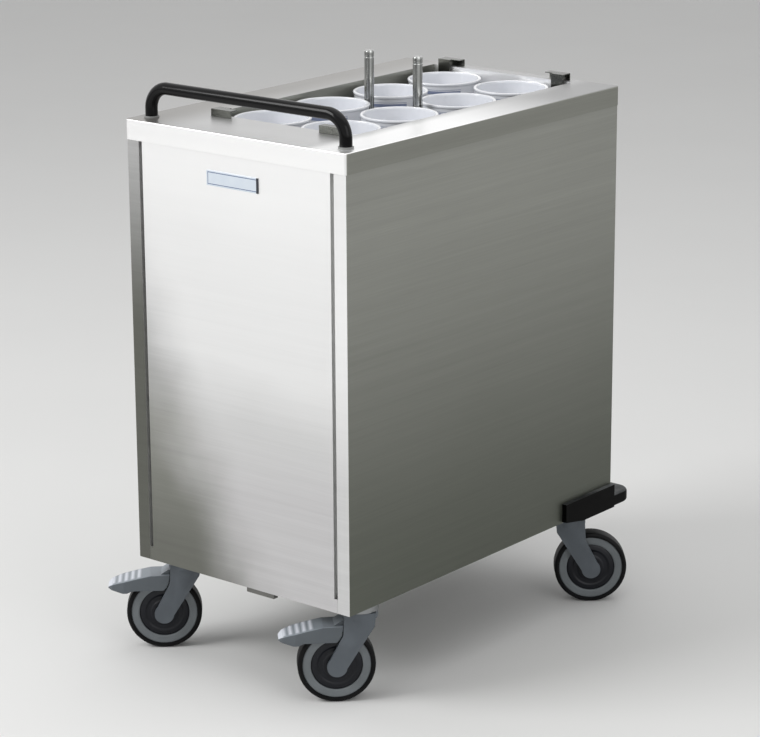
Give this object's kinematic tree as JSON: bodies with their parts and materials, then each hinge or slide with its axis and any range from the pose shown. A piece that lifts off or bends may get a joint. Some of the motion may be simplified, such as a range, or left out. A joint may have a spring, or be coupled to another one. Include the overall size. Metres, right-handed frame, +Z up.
{
  "type": "dish dispenser cart",
  "caption": "Stainless steel cart on braked swivel castors, with a push handle, corner bumpers and a spring platform that lifts stacks of bowls up a well in its top.",
  "frame": {"origin": "on the floor, under the middle of the whole cart with its castors, pedals and bumpers", "axes": "+Z up; +Y towards the bumper end, away from the push handle; +X to the right of somebody who pushes the cart by its handle"},
  "size_m": [0.5642, 0.7938, 0.9734],
  "materials": {
    "top_steel": "fine horizontal brushing",
    "panel_steel": "fine horizontal brushing",
    "side_steel": "fine horizontal brushing",
    "well_steel": "satin, plain sheet",
    "base_steel": "plain rolled sheet",
    "rod_steel": "ground bar",
    "spring_steel": "bright drawn wire",
    "small_steel": "zinc plated",
    "handle_coat": "gloss black coating",
    "collar_plastic": "satin light grey",
    "bumper_plastic": "satin black moulding",
    "plate_print": "plain pale plate",
    "tab_plastic": "dark moulding",
    "castor_grey": "moulded blue-grey",
    "wheel_grey": "moulded grey",
    "cover_dark": "moulded dark grey",
    "tyre_rubber": "smooth rubber",
    "bush_plastic": "natural white sliding plastic",
    "bowl_glaze": "white glaze"
  },
  "bodies": {
    "cart": {"top_frame": "top_steel", "left_side_panel": "side_steel", "right_side_panel": "side_steel", "front_panel": "panel_steel", "rear_panel": "panel_steel", "well_side_walls": "well_steel", "well_end_walls": "well_steel", "base_pan": "base_steel", "castor_rails": "base_steel", "push_handle": "handle_coat", "handle_collars": "collar_plastic", "handle_nuts": "small_steel", "guide_rods": "rod_steel", "rod_sockets": "base_steel", "spring_hangers": "well_steel", "tension_springs": "spring_steel", "left_bumper": "bumper_plastic", "right_bumper": "bumper_plastic", "badge_plate": "plate_print", "base_tab": "tab_plastic", "panel_screws": "small_steel", "castor_bolts": "small_steel", "front_left_swivel_head": "small_steel", "front_right_swivel_head": "small_steel", "rear_left_swivel_head": "small_steel", "rear_right_swivel_head": "small_steel"},
    "platform": {"platform_tray": "well_steel", "platform_bushes": "bush_plastic", "spring_eyes": "small_steel", "lower_bowls": "bowl_glaze"},
    "bowl_1": {"top_bowl_1": "bowl_glaze"},
    "bowl_2": {"top_bowl_2": "bowl_glaze"},
    "bowl_3": {"top_bowl_3": "bowl_glaze"},
    "bowl_4": {"top_bowl_4": "bowl_glaze"},
    "bowl_5": {"top_bowl_5": "bowl_glaze"},
    "bowl_6": {"top_bowl_6": "bowl_glaze"},
    "bowl_7": {"top_bowl_7": "bowl_glaze"},
    "bowl_8": {"top_bowl_8": "bowl_glaze"},
    "front_left_castor": {"front_left_fork": "castor_grey", "front_left_axle": "small_steel"},
    "front_left_wheel": {"front_left_wheel": "wheel_grey", "front_left_tyre": "tyre_rubber", "front_left_hub_covers": "cover_dark"},
    "front_left_pedal": {"front_left_pedal": "castor_grey"},
    "front_right_castor": {"front_right_fork": "castor_grey", "front_right_axle": "small_steel"},
    "front_right_wheel": {"front_right_wheel": "wheel_grey", "front_right_tyre": "tyre_rubber", "front_right_hub_covers": "cover_dark"},
    "front_right_pedal": {"front_right_pedal": "castor_grey"},
    "rear_left_castor": {"rear_left_fork": "castor_grey", "rear_left_axle": "small_steel"},
    "rear_left_wheel": {"rear_left_wheel": "wheel_grey", "rear_left_tyre": "tyre_rubber", "rear_left_hub_covers": "cover_dark"},
    "rear_right_castor": {"rear_right_fork": "castor_grey", "rear_right_axle": "small_steel"},
    "rear_right_wheel": {"rear_right_wheel": "wheel_grey", "rear_right_tyre": "tyre_rubber", "rear_right_hub_covers": "cover_dark"}
  },
  "joints": [
    {"name": "platform_travel", "type": "slide", "parent": "cart", "child": "platform", "axis": [0, 0, 1], "range_m": [-0.47, 0.12], "stiffness_N_per_m": 585.4, "springref_m": 0.23035, "deforming": ["tension_springs"]},
    {"name": "bowl_1_lift", "type": "slide", "parent": "platform", "child": "bowl_1", "axis": [0, 0, 1], "range_m": [0, 0.25]},
    {"name": "bowl_2_lift", "type": "slide", "parent": "platform", "child": "bowl_2", "axis": [0, 0, 1], "range_m": [0, 0.25]},
    {"name": "bowl_3_lift", "type": "slide", "parent": "platform", "child": "bowl_3", "axis": [0, 0, 1], "range_m": [0, 0.25]},
    {"name": "bowl_4_lift", "type": "slide", "parent": "platform", "child": "bowl_4", "axis": [0, 0, 1], "range_m": [0, 0.25]},
    {"name": "bowl_5_lift", "type": "slide", "parent": "platform", "child": "bowl_5", "axis": [0, 0, 1], "range_m": [0, 0.25]},
    {"name": "bowl_6_lift", "type": "slide", "parent": "platform", "child": "bowl_6", "axis": [0, 0, 1], "range_m": [0, 0.25]},
    {"name": "bowl_7_lift", "type": "slide", "parent": "platform", "child": "bowl_7", "axis": [0, 0, 1], "range_m": [0, 0.25]},
    {"name": "bowl_8_lift", "type": "slide", "parent": "platform", "child": "bowl_8", "axis": [0, 0, 1], "range_m": [0, 0.25]},
    {"name": "front_left_swivel", "type": "hinge", "parent": "cart", "child": "front_left_castor", "pos_m": [-0.17676, -0.2971, 0.152], "axis": [0, 0, 1], "continuous": true},
    {"name": "front_left_roll", "type": "hinge", "parent": "front_left_castor", "child": "front_left_wheel", "pos_m": [-0.205, -0.32252, 0.0625], "axis": [0.6691, -0.7431, 0], "continuous": true},
    {"name": "front_left_brake", "type": "hinge", "parent": "front_left_castor", "child": "front_left_pedal", "pos_m": [-0.1931, -0.31182, 0.133], "axis": [0.6691, -0.7431, 0], "range_deg": [0, 5]},
    {"name": "front_right_swivel", "type": "hinge", "parent": "cart", "child": "front_right_castor", "pos_m": [0.19724, -0.2971, 0.152], "axis": [0, 0, 1], "continuous": true},
    {"name": "front_right_roll", "type": "hinge", "parent": "front_right_castor", "child": "front_right_wheel", "pos_m": [0.16991, -0.32349, 0.0625], "axis": [0.6947, -0.7193, 0], "continuous": true},
    {"name": "front_right_brake", "type": "hinge", "parent": "front_right_castor", "child": "front_right_pedal", "pos_m": [0.18142, -0.31238, 0.133], "axis": [0.6947, -0.7193, 0], "range_deg": [0, 5]},
    {"name": "rear_left_swivel", "type": "hinge", "parent": "cart", "child": "rear_left_castor", "pos_m": [-0.17676, 0.2709, 0.152], "axis": [0, 0, 1], "continuous": true},
    {"name": "rear_left_roll", "type": "hinge", "parent": "rear_left_castor", "child": "rear_left_wheel", "pos_m": [-0.20586, 0.29533, 0.0625], "axis": [-0.6428, -0.766, 0], "continuous": true},
    {"name": "rear_right_swivel", "type": "hinge", "parent": "cart", "child": "rear_right_castor", "pos_m": [0.19724, 0.2709, 0.152], "axis": [0, 0, 1], "continuous": true},
    {"name": "rear_right_roll", "type": "hinge", "parent": "rear_right_castor", "child": "rear_right_wheel", "pos_m": [0.22635, 0.29533, 0.0625], "axis": [-0.6428, 0.766, 0], "continuous": true}
  ]
}
